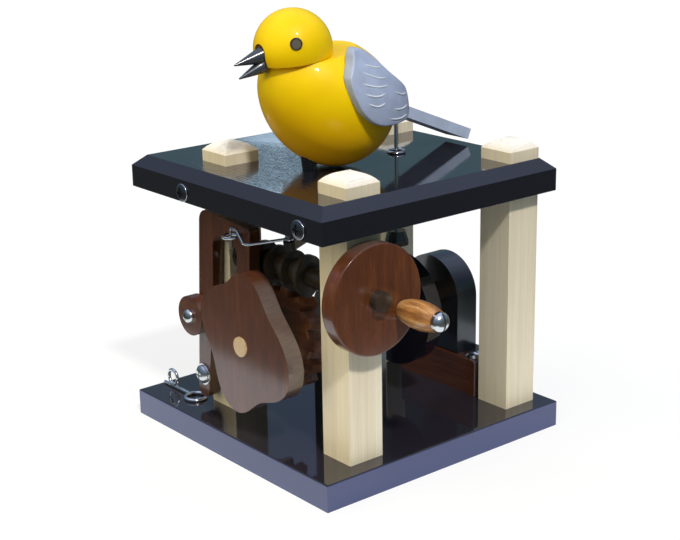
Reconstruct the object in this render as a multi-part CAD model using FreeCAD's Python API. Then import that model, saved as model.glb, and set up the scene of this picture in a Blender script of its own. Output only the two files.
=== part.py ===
"""Wooden crank automaton: a bird on a four-post stand, driven by a worm, two cams and their followers.

Millimetres. +Z is up, -Y is the side that the bird and the star cam face, +X is the crank's side.
The origin is the middle of the base plate's underside.
"""
import FreeCAD
import Part
import math
import os
from FreeCAD import Vector as V

os.makedirs("parts", exist_ok=True)

# ---- fits ----
running = 0.08          # radial clearance of a shaft or screw that turns in its hole
glued = 0.02            # radial clearance of a piece glued or driven onto another
loose = 0.3             # clearance of a sliding face or of a follower over a cam's sweep

# ---- stand ----
base_length = 152.0     # along X
base_width = 146.0      # along Y
base_thickness = 13.0
base_round = 0.8
top_thickness = 15.5
top_inset_x = 2.5       # of the top plate's edge inside the base plate's
top_inset_y = 2.0
bevel_run = 5.6
bevel_drop = 5.0
post_side = 19.0
post_right_inset = 18.0     # of each row of posts, from the base plate's edge
post_left_inset = 46.5
post_front_inset = 29.8
post_back_inset = 17.5
post_edge_rise = 5.2    # the post's end above the top plate, at its edge
post_crown_rise = 9.9   # and in its middle
mortise_gap = 0.05
edge_screw_drop = 11.0  # below the top plate's upper face
edge_screw_shank = 1.6
edge_screw_head = 4.4
edge_screw_dome = 1.6
edge_screw_length = 30.0
base_screw_shank = 2.0
base_screw_head = 4.2
base_screw_sink = 0.6
base_screw_length = 34.0

# ---- crank and worm ----
shaft_radius = 4.75
crank_height = 91.2
disc_clearance = 3.4    # between the disc and the top plate
crank_shaft_end = 2.0   # of the shaft, past the left post
crank_stub = 3.8        # shaft end that stands out of the disc
disc_radius = 25.2
disc_thickness = 7.8
disc_round = 0.7
disc_washer_radius = 8.0
disc_washer_thickness = 1.0
crank_throw = 16.0      # from the shaft to the handle
crank_angle = -26.7     # of the handle about +X, from +Y
handle_length = 22.0
handle_root_radius = 4.4
handle_belly_radius = 6.5
handle_belly_share = 0.42   # of the length from the disc to the widest place
handle_tip_radius = 4.7
handle_gap = 0.4        # between disc and handle
spindle_radius = 2.0
spindle_grip = 6.5      # screw length in the disc
handle_head_radius = 4.5
handle_head_dome = 4.2
screw_slot_width = 1.1
screw_slot_depth = 1.8
worm_pitch = 10.8
worm_left_gap = 6.2     # between the collar and the worm
worm_right_gap = 17.5   # between the worm and the right post
worm_root_radius = 6.2
worm_radius = 9.6
worm_pitch_radius = 8.3
thread_root_width = 4.8
thread_tip_width = 2.6
collar_radius = 8.0
collar_thickness = 4.5

# ---- cam shaft ----
wheel_teeth = 14
wheel_width = 9.0
wheel_addendum = 1.75
gash_depth = 4.4
gash_tip_width = 6.7
gash_root_width = 4.0
star_lead = 10.2        # of the star cam's front face before the lever's
star_thickness = 8.5
star_proud = 0.8        # the shaft's end in front of the star cam
# angle in degrees from +X towards +Z, and share of the star's radius, of each lobe and each valley
star_stations = [(-15.0, 1.0), (41.0, 0.795), (84.0, 0.986), (113.0, 0.827), (152.0, 0.942),
                 (203.0, 0.693), (257.0, 0.942), (298.0, 0.751)]
rear_cam_front = 20.0
rear_cam_thickness = 8.5
rear_cam_radius = 28.0
rear_cam_throw = 2.5
rear_cam_angle = -45.0
upright_side_gap = 11.2     # between an upright and the left posts, seen from the front
upright_thickness = 13.0
rear_upright_inset = 24.5   # of its front face from the base plate's back edge
middle_upright_front = -12.0
rear_foot_height = 18.0
rear_foot_lip = 2.0     # of the foot in front of the upright
rear_foot_depth = 19.5
rear_foot_side = 14.0   # how far the foot runs past the upright on the crank's side
foot_screw_side = 8.2   # of the screw past the upright
foot_screw_back = 5.5   # of the screw behind the foot's front
rear_shaft_proud = 1.2
foot_screw_radius = 2.0
foot_head_radius = 4.4
foot_head_height = 3.0
foot_screw_length = 24.0

# ---- follower lever ----
lever_thickness = 5.8
lever_stand_off = 1.3   # between the lever and the post's face
lever_pivot_side = 6.1  # of the pivot outside the left post's middle
lever_pivot_z = 29.5
lever_lean = 4.3        # degrees towards +X
lever_back_edge = 4.2   # left of the pivot line
lever_foot_width = 8.4
lever_foot_drop = 12.0
lever_leg_width = 11.4
lever_leg_start = 40.0  # height above the pivot where the leg has its full width
lever_headroom = 5.3    # between the lever's top and the top plate, along the lever
lever_reach = 36.3      # right of the pivot line
lever_arch = 10.4       # from the lever's top down to its slot
lever_slot_width = 19.2
lever_short_leg = 35.0  # length of the short leg, from the lever's top
lever_foot_round = 3.9
lever_leg_round = 12.0
lever_heel_round = 2.0
lever_toe_round = 4.5
lever_corner = 6.0
lever_slot_corner = 5.0
pivot_screw_radius = 1.9
pivot_head_radius = 4.6
pivot_head_dome = 2.6
pivot_washer_radius = 5.4
pivot_washer_thickness = 0.6
pivot_screw_depth = 12.0
roller_radius = 9.8
roller_thickness = 6.2
roller_side = 0.16      # of the roller's middle past the pivot
roller_rise = 2.4       # and above the cam shaft
roller_screw_radius = 1.75
roller_head_radius = 3.5
roller_head_dome = 2.8
roller_spacer = 0.6
roller_washer_radius = 3.6
eye_side = 33.6         # of the eye past the pivot
eye_drop = 12.2         # below the top plate
eye_ring_radius = 3.6
eye_wire_radius = 0.8
eye_shank_depth = 5.0

# ---- bird ----
bird_x = 12.5
head_y = -36.5
head_rise = 57.0        # of the head's centre above the top plate
head_radius = 17.8
neck_tilt = 8.0         # degrees that the head's axis leans forward
neck_drop = 4.4         # below the head's centre, along its axis
neck_gap = 0.3
beak_face = 15.4        # of the flat that carries the beak, in front of the head's centre
beak_notch_rise = -1.1  # of the middle of the notch's round top above the head's centre
beak_notch_half_width = 4.5
body_y = -19.6
body_rise = 32.6        # of the body's centre above the top plate
body_half_length = 34.6
body_radius = 28.25
body_egg = 0.14        # how much fuller the lower end is
body_spread = 1.06      # how much wider the body is than it is deep
body_tilt = 36.0        # degrees that the egg's axis rises forward
stem_radius = 3.5
stem_grip = 22.0        # in and under the body
head_rod_radius = 1.5
head_rod_grip = 10.0    # in the head
head_rod_drop = 14.0    # of its lower end below the top plate
body_rod_gap = 0.5
head_turned = -6.0      # degrees that the head looks aside at rest, about its own axis
bird_eye_side = 63.0    # degrees round from the beak
bird_eye_rise = 14.6    # degrees up
bird_eye_radius = 2.7
bird_eye_depth = 3.0
bird_eye_proud = 0.35
# root and tip of each half of the beak, forward of the head's centre and above it
upper_beak_root = (13.5, -1.1)
upper_beak_tip = (30.4, -4.9)
upper_beak_radius = 4.5
lower_beak_root = (13.5, -5.6)
lower_beak_tip = (28.1, -11.0)
lower_beak_radius = 3.9
beak_relief_half_width = 8.5    # of the sloped dip in the body's rim under the beak
beak_relief_slope = 20.0        # degrees, below the neck's plane
beak_relief_reach = 12.0        # of its inner edge, forward of the head's axis
beak_tip_radius = 0.35
arm_thickness = 4.0
arm_hub_radius = 5.0
arm_pin_x = 21.8
arm_pin_y = -48.0
arm_tip_radius = 3.0
arm_pin_radius = 0.9
arm_pin_head = 1.7
link_wire_radius = 0.7
link_loop_radius = 1.75
link_bend_radius = 1.2
link_bend_side = 13.0   # past the lever's eye
link_climb_side = 9.6   # where the wire starts to climb over the lever's eye
link_climb = 5.2
link_leg = 10.0          # how far the link's hook hangs down through the lever's eye
wing_cover = 4.2        # thickness of a wing over the body
wing_stretch = 4.0      # how much longer the wing's egg is at each end
# outline of a wing seen from the side, behind and above the body's centre
wing_outline = [(-6.3, 24.4), (-2.8, 25.0), (3.5, 23.0), (8.8, 19.1), (15.9, 12.9), (24.9, 6.5),
                (31.6, 1.2), (33.6, -2.9), (32.2, -6.8), (27.6, -9.2), (20.0, -9.9), (10.2, -9.9),
                (2.9, -8.8), (-1.5, -6.5), (-6.1, -2.6), (-9.4, 2.7), (-11.2, 7.8), (-11.6, 13.1),
                (-9.8, 19.2)]
wing_inner_slope = 15.0 # degrees that the inner side turns inwards to the rear
wing_inner = 18.5       # of its inner edge from the bird's middle
wing_head_gap = 0.5
tail_pivot_y = 6.0
tail_pivot_rise = 28.7  # above the top plate
tail_slope = 22.2
tail_length = 64.6
tail_root = 3.0         # behind the pin
tail_width = 16.0
tail_thickness = 5.2
tail_pin_radius = 1.2
tail_pin_length = 26.0
tail_lift = 15.0        # degrees of room for the tail in the body's slot

# ---- push rod ----
push_y = 24.5
push_radius = 1.0
shoe_radius = 5.8
shoe_neck_radius = 4.2
shoe_height = 7.0
guide_side = 18.0
guide_height = 12.0
push_travel = 5.0
eyelet_radius = 4.6
eyelet_wire = 0.7

# ---- hook on the base ----
hook_wire = 0.9
hook_front_inset = 14.4     # of the hook from the base plate's front edge
hook_left_inset = 2.2       # and from its left edge
upright_ring_side = 7.8     # of each ring's middle past the wire's left end
upright_ring_radius = 3.8
flat_ring_side = 27.8
flat_ring_radius = 5.2
hook_screw_radius = 1.2
hook_head_radius = 3.6
hook_head_dome = 1.6
hook_screw_length = 9.0

# ---- places that follow from the above ----
base_top = base_thickness
top_under = crank_height + disc_radius + disc_clearance
top_upper = top_under + top_thickness
top_length = base_length - 2 * top_inset_x
top_width = base_width - 2 * top_inset_y
post_right_x = base_length / 2 - post_right_inset
post_left_x = post_left_inset - base_length / 2
post_front_y = post_front_inset - base_width / 2
post_back_y = base_width / 2 - post_back_inset
between_left = post_left_x + post_side / 2
between_right = post_right_x - post_side / 2
worm_left = between_left + loose + collar_thickness + worm_left_gap
worm_length = between_right - worm_right_gap - worm_left
cam_x = worm_left + worm_length / 2
upright_radius = cam_x - between_left - upright_side_gap
lever_pivot_x = post_left_x - lever_pivot_side
eye_x = lever_pivot_x + eye_side
push_x = bird_x
crank_shaft_left = post_left_x - post_side / 2 - crank_shaft_end
hook_y = hook_front_inset - base_width / 2
hook_left = hook_left_inset - base_length / 2
upright_ring_x = hook_left + upright_ring_side
flat_ring_x = hook_left + flat_ring_side
wheel_pitch_radius = wheel_teeth * worm_pitch / (2 * math.pi)
wheel_radius = wheel_pitch_radius + wheel_addendum
cam_height = crank_height - worm_pitch_radius - wheel_pitch_radius
crank_y = post_front_y
disc_back = post_right_x + post_side / 2 + disc_washer_thickness
disc_front = disc_back + disc_thickness
lever_front = post_front_y - post_side / 2 - lever_stand_off - lever_thickness
lever_height = top_under - lever_pivot_z - lever_headroom
star_front = lever_front - star_lead
rear_upright_front = base_width / 2 - rear_upright_inset
eye_y = lever_front - eye_ring_radius - eye_wire_radius
eye_z = top_under - eye_drop
head_z = top_upper + head_rise
body_z = top_upper + body_rise
tail_pivot_z = top_upper + tail_pivot_rise
roller_x = lever_pivot_x + roller_side
roller_z = cam_height + roller_rise
star_radius = math.hypot(cam_x - roller_x, roller_rise) - roller_radius - loose
roller_front = lever_front - roller_spacer - roller_thickness
shoe_bottom = cam_height + rear_cam_radius + rear_cam_throw + loose
neck_axis = V(0, -math.sin(math.radians(neck_tilt)), math.cos(math.radians(neck_tilt)))
head_centre = V(bird_x, head_y, head_z)
neck_point = head_centre - neck_axis * neck_drop
tail_axis = V(0, math.cos(math.radians(tail_slope)), -math.sin(math.radians(tail_slope)))
tail_up = V(0, math.sin(math.radians(tail_slope)), math.cos(math.radians(tail_slope)))
tail_pivot = V(bird_x, tail_pivot_y, tail_pivot_z)
tail_under_at_rod = (tail_pivot_z - (push_y - tail_pivot_y) * math.tan(math.radians(tail_slope))
                     - tail_thickness / 2 / math.cos(math.radians(tail_slope)))
rear_foot_top = base_top + rear_foot_height
foot_front = rear_upright_front - rear_foot_lip
foot_screw_at = V(cam_x + upright_radius + foot_screw_side, foot_front + foot_screw_back, rear_foot_top)
far = 400.0             # longer than anything that is cut

X = V(1, 0, 0)
Y = V(0, 1, 0)
Z = V(0, 0, 1)


def box(x0, y0, z0, x1, y1, z1):
    return Part.makeBox(x1 - x0, y1 - y0, z1 - z0, V(x0, y0, z0))


def rod(radius, start, axis, length):
    return Part.makeCylinder(radius, length, start, axis)


def ring(outer, inner, start, axis, length):
    return rod(outer, start, axis, length).cut(rod(inner, start - axis, axis, length + 2))


def prism(wire, along):
    return Part.Face(wire).extrude(along)


def revolve(points, start, axis, side):
    """Solid of revolution: points are (radius, height) along axis from start, and side is any direction across it."""
    profile = [start + side * r + axis * h for r, h in points]
    return Part.Face(Part.makePolygon(profile + [profile[0]])).revolve(start, axis, 360)


def domed_head(radius, dome, face, axis, side):
    """A low domed screw head that stands on face and rises along axis."""
    rim = dome * 0.35
    start = face + side * radius
    shoulder = start + axis * rim
    crown = face + axis * dome
    middle = face + side * radius * 0.72 + axis * (rim + (dome - rim) * 0.72)
    edges = [Part.LineSegment(face, start).toShape(), Part.LineSegment(start, shoulder).toShape(),
             Part.Arc(shoulder, middle, crown).toShape(), Part.LineSegment(crown, face).toShape()]
    return Part.Face(Part.Wire(edges)).revolve(face, axis, 360)


def cross_slot(face, axis, side, dome, radius):
    """Two crossed slots in the top of a domed head."""
    width = radius * 0.2
    length = radius * 1.15
    depth = dome * 0.55
    other = axis.cross(side)
    cut = []
    for along, across in ((side, other), (other, side)):
        corner = face + axis * (dome - depth) - along * (length / 2) - across * (width / 2)
        wire = Part.makePolygon([corner, corner + along * length, corner + along * length + across * width,
                                 corner + across * width, corner])
        cut.append(prism(wire, axis * (depth + 1)))
    return cut[0].fuse(cut[1])


def rounded_path(corners, closed=True):
    """Straight runs joined by tangent arcs: corners are (point, radius)."""
    count = len(corners)
    starts, ends, edges = [], [], []
    for i, (point, radius) in enumerate(corners):
        inner = closed or 0 < i < count - 1
        if not inner or radius <= 0:
            starts.append(point)
            ends.append(point)
            continue
        before = corners[i - 1][0] - point
        after = corners[(i + 1) % count][0] - point
        half = before.getAngle(after) / 2
        before.normalize()
        after.normalize()
        reach = radius / math.tan(half)
        bisector = (before + after).normalize()
        middle = point + bisector * (radius / math.sin(half) - radius)
        starts.append(point + before * reach)
        ends.append(point + after * reach)
        edges.append(Part.Arc(starts[i], middle, ends[i]).toShape())
    for i in range(count if closed else count - 1):
        start, end = ends[i], starts[(i + 1) % count]
        if (end - start).Length > 1e-6:
            edges.append(Part.LineSegment(start, end).toShape())
    return Part.Wire(Part.__sortEdges__(edges))


def wire_rod(points, bend, radius):
    """A bent round wire."""
    path = rounded_path([(point, bend) for point in points], closed=False)
    section = Part.Wire(Part.Circle(points[0], points[1] - points[0], radius).toShape())
    return path.makePipeShell([section], True, True)


def torus(centre, axis, ring_radius, wire_radius):
    return Part.makeTorus(ring_radius, wire_radius, centre, axis)


def make(name, shape):
    shape.exportStep("parts/" + name + ".step")


# ================= stand =================

post_places = {
    "front_right_post": (post_right_x, post_front_y),
    "back_right_post": (post_right_x, post_back_y),
    "front_left_post": (post_left_x, post_front_y),
    "back_left_post": (post_left_x, post_back_y),
}


def base_screw_places():
    places = list(post_places.values())
    places.append((cam_x, middle_upright_front + upright_thickness / 2))
    return places


def base_screw(x, y, grow=0.0):
    """A countersunk screw driven up through the base plate."""
    sink = base_screw_sink
    cone = base_screw_head - base_screw_shank
    head = base_screw_head + grow
    shank = base_screw_shank + grow
    low = 0.0 if grow else sink
    return revolve([(0, low), (head, low), (head, sink), (shank, sink + cone), (shank, base_screw_length + grow),
                    (0, base_screw_length + grow)], V(x, y, 0), Z, X)


def edge_screw(x, grow=0.0):
    """A domed screw through the top plate's front edge into a post."""
    face = V(x, -top_width / 2, top_upper - edge_screw_drop)
    shank = rod(edge_screw_shank + grow, face, Y, edge_screw_length + grow)
    if grow:
        return shank
    head = domed_head(edge_screw_head, edge_screw_dome, face, -Y, X)
    return shank.fuse(head).cut(cross_slot(face, -Y, X, edge_screw_dome, edge_screw_head))


def bevelled_slab():
    """The top plate: an upright profile along X and another along Y, and what they share."""
    low, edge, high = top_under, top_upper - bevel_drop, top_upper
    half = top_length / 2
    inner = half - bevel_run
    front = Part.makePolygon([V(x, -far / 2, z) for x, z in
                              ((-half, low), (half, low), (half, edge), (inner, high), (-inner, high),
                               (-half, edge), (-half, low))])
    half = top_width / 2
    inner = half - bevel_run
    side = Part.makePolygon([V(-far / 2, y, z) for y, z in
                             ((-half, low), (half, low), (half, edge), (inner, high), (-inner, high),
                              (-half, edge), (-half, low))])
    return prism(front, Y * far).common(prism(side, X * far))


def crowned_end(x, y, along, across):
    """A prism with a level foot and an arched top, as wide as a post along one axis."""
    edge = top_upper + post_edge_rise
    crown = top_upper + post_crown_rise
    middle = V(x, y, 0) - across * far / 2
    half = along * (post_side / 2)
    left, right = middle - half, middle + half
    edges = [Part.LineSegment(left + Z * base_top, right + Z * base_top).toShape(),
             Part.LineSegment(right + Z * base_top, right + Z * edge).toShape(),
             Part.Arc(right + Z * edge, middle + Z * crown, left + Z * edge).toShape(),
             Part.LineSegment(left + Z * edge, left + Z * base_top).toShape()]
    return prism(Part.Wire(edges), across * far)


def post(x, y):
    solid = crowned_end(x, y, X, Y).common(crowned_end(x, y, Y, X))
    return solid.cut(base_screw(x, y, glued))


base_plate = box(-base_length / 2, -base_width / 2, 0, base_length / 2, base_width / 2, base_top)
upper_edges = [e for e in base_plate.Edges if all(abs(v.Z - base_top) < 0.01 for v in e.Vertexes)]
base_plate = base_plate.makeFillet(base_round, upper_edges)
for x, y in base_screw_places():
    base_plate = base_plate.cut(base_screw(x, y, glued))
base_plate = base_plate.cut(rod(foot_screw_radius + glued, foot_screw_at, -Z, foot_screw_length + glued))

crank_line = V(0, crank_y, crank_height)
cam_line = V(cam_x, 0, cam_height)
crank_bore = rod(shaft_radius + running, crank_line - X * far / 2, X, far)
cam_bore = rod(shaft_radius + running, cam_line - Y * far / 2, Y, far)
stem_hole_in_plate = rod(stem_radius + glued, neck_point - neck_axis * far / 2, neck_axis, far)
push_bore = rod(push_radius + running, V(push_x, push_y, 0), Z, far)

top_plate = bevelled_slab()
for x, y in post_places.values():
    half = post_side / 2 + mortise_gap
    top_plate = top_plate.cut(box(x - half, y - half, top_under - 1, x + half, y + half, top_upper + 1))
for x in (post_left_x, post_right_x):
    top_plate = top_plate.cut(edge_screw(x, glued))
top_plate = top_plate.cut(stem_hole_in_plate).cut(push_bore)

make("base_plate", base_plate)
make("top_plate", top_plate)

lever_pivot = V(lever_pivot_x, lever_front, lever_pivot_z)
pivot_hole = rod(pivot_screw_radius + glued, lever_pivot, Y,
                 post_front_y - post_side / 2 - lever_front + pivot_screw_depth + glued)
for name, (x, y) in post_places.items():
    solid = post(x, y)
    if y == post_front_y:
        solid = solid.cut(crank_bore).cut(edge_screw(x, glued))
    if name == "front_left_post":
        solid = solid.cut(pivot_hole)
    make(name, solid)

make("edge_screws", Part.makeCompound([edge_screw(x) for x in (post_left_x, post_right_x)]))
make("base_screws", Part.makeCompound([base_screw(x, y) for x, y in base_screw_places()]))


# ================= uprights of the cam shaft =================

def upright(front, foot):
    """A round-topped board, bored for the cam shaft."""
    left, right = cam_x - upright_radius, cam_x + upright_radius
    edges = [Part.LineSegment(V(left, front, foot), V(right, front, foot)).toShape(),
             Part.LineSegment(V(right, front, foot), V(right, front, cam_height)).toShape(),
             Part.Arc(V(right, front, cam_height), V(cam_x, front, cam_height + upright_radius),
                      V(left, front, cam_height)).toShape(),
             Part.LineSegment(V(left, front, cam_height), V(left, front, foot)).toShape()]
    return prism(Part.Wire(edges), Y * upright_thickness).cut(cam_bore)




def foot_screw():
    shank = rod(foot_screw_radius, foot_screw_at, -Z, foot_screw_length)
    head = domed_head(foot_head_radius, foot_head_height, foot_screw_at, Z, X)
    return shank.fuse(head).cut(cross_slot(foot_screw_at, Z, X, foot_head_height, foot_head_radius))


foot = box(cam_x - upright_radius, foot_front, base_top, cam_x + upright_radius + rear_foot_side,
           foot_front + rear_foot_depth, rear_foot_top)
foot = foot.makeFillet(1.0, [e for e in foot.Edges if all(abs(v.Z - rear_foot_top) < 0.01 for v in e.Vertexes)
                             and all(v.X > cam_x + upright_radius + 0.1 for v in e.Vertexes)])
foot_hole = rod(foot_screw_radius + glued, foot_screw_at + Z, -Z, far)
make("rear_foot", foot.cut(foot_hole))
make("rear_upright", upright(rear_upright_front, rear_foot_top))
middle_upright = upright(middle_upright_front, base_top)
make("middle_upright", middle_upright.cut(base_screw(cam_x, middle_upright_front + upright_thickness / 2, glued)))
make("foot_screw", foot_screw())


# ================= crank and worm =================

def worm_thread():
    """A right-hand thread about +Z whose crest is at angle 0 in the middle of the length."""
    start = worm_length / 2 - 3 * worm_pitch
    root, tip = worm_root_radius - 0.6, worm_radius
    slope = (thread_root_width - thread_tip_width) / (worm_radius - worm_root_radius)
    half_root = thread_root_width / 2 + slope * 0.3
    half_tip = thread_tip_width / 2
    profile = Part.makePolygon([V(root, 0, start - half_root), V(tip, 0, start - half_tip),
                                V(tip, 0, start + half_tip), V(root, 0, start + half_root),
                                V(root, 0, start - half_root)])
    helix = Part.makeHelix(worm_pitch, 6 * worm_pitch, worm_root_radius)
    helix.translate(V(0, 0, start))
    return Part.Wire(helix.Edges).makePipeShell([profile], True, True)


def worm():
    """Core and thread, trimmed square at both ends and laid along the crank's axis."""
    core = rod(worm_root_radius, V(0, 0, 0), Z, worm_length)
    room = rod(worm_radius + 1, V(0, 0, 0), Z, worm_length)
    solid = core.fuse(worm_thread().common(room))
    solid = solid.cut(rod(shaft_radius + glued, V(0, 0, -1), Z, worm_length + 2))
    # local +Z to +X, local +X to -Z
    matrix = FreeCAD.Matrix(0, 0, 1, worm_left,
                            0, 1, 0, crank_y,
                            -1, 0, 0, crank_height,
                            0, 0, 0, 1)
    solid.transformShape(matrix)
    return solid


handle_y = crank_y + crank_throw * math.cos(math.radians(crank_angle))
handle_z = crank_height + crank_throw * math.sin(math.radians(crank_angle))
handle_start = disc_front + handle_gap
handle_end = handle_start + handle_length
crank_right = disc_front + crank_stub

make("crank_shaft", rod(shaft_radius, V(crank_shaft_left, crank_y, crank_height), X,
                        crank_right - crank_shaft_left))
make("worm", worm())

disc = rod(disc_radius, V(disc_back, crank_y, crank_height), X, disc_thickness)
disc = disc.makeFillet(disc_round, disc.Edges[0:1] + disc.Edges[2:3])
disc = disc.cut(rod(shaft_radius + glued, crank_line - X * far / 2, X, far))
disc = disc.cut(rod(spindle_radius + glued, V(disc_front - spindle_grip, handle_y, handle_z), X, far))
make("crank_disc", disc)
washer_left = disc_back - disc_washer_thickness
make("crank_washer", ring(disc_washer_radius, shaft_radius + glued, V(washer_left + 0.1, crank_y, crank_height),
                          X, disc_washer_thickness - 0.1))
collar_left = between_left + loose
make("crank_collar", ring(collar_radius, shaft_radius + glued, V(collar_left, crank_y, crank_height),
                          X, collar_thickness))

spindle = rod(spindle_radius, V(disc_front - spindle_grip, handle_y, handle_z), X,
              handle_end + handle_gap / 2 + spindle_grip - disc_front)
handle_face = V(handle_end + handle_gap / 2, handle_y, handle_z)
slot_box = box(handle_face.x + handle_head_dome - screw_slot_depth, handle_y - screw_slot_width / 2,
               handle_z - handle_head_radius, handle_face.x + 2 * handle_head_dome,
               handle_y + screw_slot_width / 2, handle_z + handle_head_radius)
handle_screw = spindle.fuse(domed_head(handle_head_radius, handle_head_dome, handle_face, X, Y))
make("handle_screw", handle_screw.cut(slot_box))


def crank_handle():
    """A turned barrel on the spindle screw."""
    hole = spindle_radius + running
    root = V(handle_start, handle_y + handle_root_radius, handle_z)
    belly = V(handle_start + handle_length * handle_belly_share, handle_y + handle_belly_radius, handle_z)
    tip = V(handle_end, handle_y + handle_tip_radius, handle_z)
    inner_end = V(handle_end, handle_y + hole, handle_z)
    inner_start = V(handle_start, handle_y + hole, handle_z)
    edges = [Part.Arc(root, belly, tip).toShape(), Part.LineSegment(tip, inner_end).toShape(),
             Part.LineSegment(inner_end, inner_start).toShape(), Part.LineSegment(inner_start, root).toShape()]
    return Part.Face(Part.Wire(edges)).revolve(V(0, handle_y, handle_z), X, 360)


make("crank_handle", crank_handle())


# ================= cam shaft =================

cam_bore_glued = rod(shaft_radius + glued, cam_line - Y * far / 2, Y, far)


def polar(angle, radius, y):
    """A point about the cam shaft, with the angle from +X towards +Z."""
    turn = math.radians(angle)
    return V(cam_x + radius * math.cos(turn), y, cam_height + radius * math.sin(turn))


def worm_wheel():
    """A flat-rimmed wheel with slanting gashes that fit the worm's thread."""
    wheel_front = crank_y - wheel_width / 2
    solid = rod(wheel_radius, V(cam_x, wheel_front, cam_height), Y, wheel_width)
    lead = worm_pitch / (2 * math.pi * worm_pitch_radius)
    low = wheel_radius - gash_depth
    high = wheel_radius + 1.0
    spread = (gash_tip_width - gash_root_width) / gash_depth
    half_low = gash_root_width / 2
    half_high = gash_tip_width / 2 + spread / 2
    reach = wheel_width
    gash_start = V(cam_x - lead * reach, crank_y - reach, cam_height)
    corners = [gash_start + X * a + Z * b for a, b in
               ((-half_low, low), (half_low, low), (half_high, high), (-half_high, high), (-half_low, low))]
    gash = prism(Part.makePolygon(corners), (X * lead + Y) * (2 * reach))
    gashes = []
    for tooth in range(wheel_teeth):
        turned = gash.copy()
        turned.rotate(cam_line, Y, tooth * 360.0 / wheel_teeth)
        gashes.append(turned)
    return solid.cut(gashes).cut(cam_bore_glued)


def eased_radius(angle):
    """The star cam's radius, eased between the stations."""
    stations = star_stations + [(star_stations[0][0] + 360, star_stations[0][1])]
    for (a0, r0), (a1, r1) in zip(stations, stations[1:]):
        if a0 <= angle <= a1:
            ease = (1 - math.cos(math.pi * (angle - a0) / (a1 - a0))) / 2
            return star_radius * (r0 + (r1 - r0) * ease)
    raise ValueError(angle)


def star_cam():
    first = star_stations[0][0]
    points = [polar(first + step * 6, eased_radius(first + step * 6), star_front) for step in range(60)]
    curve = Part.BSplineCurve()
    curve.interpolate(points, PeriodicFlag=True)
    return prism(Part.Wire(curve.toShape()), Y * star_thickness).cut(cam_bore_glued)


def rear_cam():
    middle = polar(rear_cam_angle, rear_cam_throw, rear_cam_front)
    return rod(rear_cam_radius, middle, Y, rear_cam_thickness).cut(cam_bore_glued)


shaft_front = star_front - star_proud
shaft_back = rear_upright_front + upright_thickness + rear_shaft_proud
make("cam_shaft", rod(shaft_radius, V(cam_x, shaft_front, cam_height), Y, shaft_back - shaft_front))
make("worm_wheel", worm_wheel())
make("star_cam", star_cam())
make("rear_cam", rear_cam())
collar_front = middle_upright_front - loose - collar_thickness
collar_back = middle_upright_front + upright_thickness + loose
make("shaft_collars", Part.makeCompound([
    ring(collar_radius, shaft_radius + glued, V(cam_x, collar_front, cam_height), Y, collar_thickness),
    ring(collar_radius, shaft_radius + glued, V(cam_x, collar_back, cam_height), Y, collar_thickness)]))


# ================= follower lever =================

def lever_point(across, up):
    """A point of the lever's front face, from its own upright frame about the pivot."""
    lean = math.radians(lever_lean)
    return V(lever_pivot_x + across * math.cos(lean) + up * math.sin(lean), lever_front,
             lever_pivot_z - across * math.sin(lean) + up * math.cos(lean))


def follower_lever():
    """A board shaped like a walking stick: one long leg to the pivot and a short one."""
    left = -lever_back_edge
    inner = left + lever_leg_width
    slot_right = inner + lever_slot_width
    foot_inner = left + lever_foot_width
    foot = -lever_foot_drop
    slot_top = lever_height - lever_arch
    leg_end = lever_height - lever_short_leg
    corners = [(left, foot, lever_foot_round), (left, lever_height, lever_corner),
               (lever_reach, lever_height, lever_heel_round),
               (lever_reach, leg_end, lever_toe_round), (slot_right, leg_end, lever_toe_round),
               (slot_right, slot_top, lever_slot_corner), (inner, slot_top, lever_slot_corner),
               (inner, lever_leg_start, lever_leg_round), (foot_inner, foot, lever_foot_round)]
    wire = rounded_path([(lever_point(across, up), bend) for across, up, bend in corners])
    return prism(wire, Y * lever_thickness)


eye_point = V(eye_x, eye_y, eye_z)
eye_hole = rod(eye_wire_radius + glued, V(eye_x, lever_front - 1, eye_z), Y, eye_shank_depth + glued + 1)
roller_line = V(roller_x, 0, roller_z)
roller_screw_hole = rod(roller_screw_radius + glued, roller_line - Y * far / 2, Y, far)
lever = follower_lever()
lever = lever.cut(rod(pivot_screw_radius + running, lever_pivot - Y, Y, far))
make("follower_lever", lever.cut(roller_screw_hole).cut(eye_hole))

eye_ring = torus(eye_point, Z, eye_ring_radius, eye_wire_radius)
eye_shank_start = eye_y + eye_ring_radius
eye_shank = rod(eye_wire_radius, V(eye_x, eye_shank_start, eye_z), Y,
                lever_front + eye_shank_depth - eye_shank_start)
make("lever_eye", eye_ring.fuse(eye_shank))

roller_at = V(roller_x, roller_front, roller_z)
make("roller", ring(roller_radius, roller_screw_radius + running, roller_at, Y, roller_thickness))
screw_face = V(roller_x, roller_front - running, roller_z)
roller_shank = rod(roller_screw_radius, screw_face, Y, lever_front + lever_thickness - screw_face.y)
roller_head = domed_head(roller_head_radius, roller_head_dome, screw_face, -Y, X)
roller_screw = roller_shank.fuse(roller_head)
make("roller_screw", roller_screw.cut(cross_slot(screw_face, -Y, X, roller_head_dome, roller_head_radius)))
make("roller_washer", ring(roller_washer_radius, roller_screw_radius + glued, V(roller_x, lever_front - roller_spacer + 0.1,
                                                               roller_z), Y, roller_spacer - 0.1))

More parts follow.
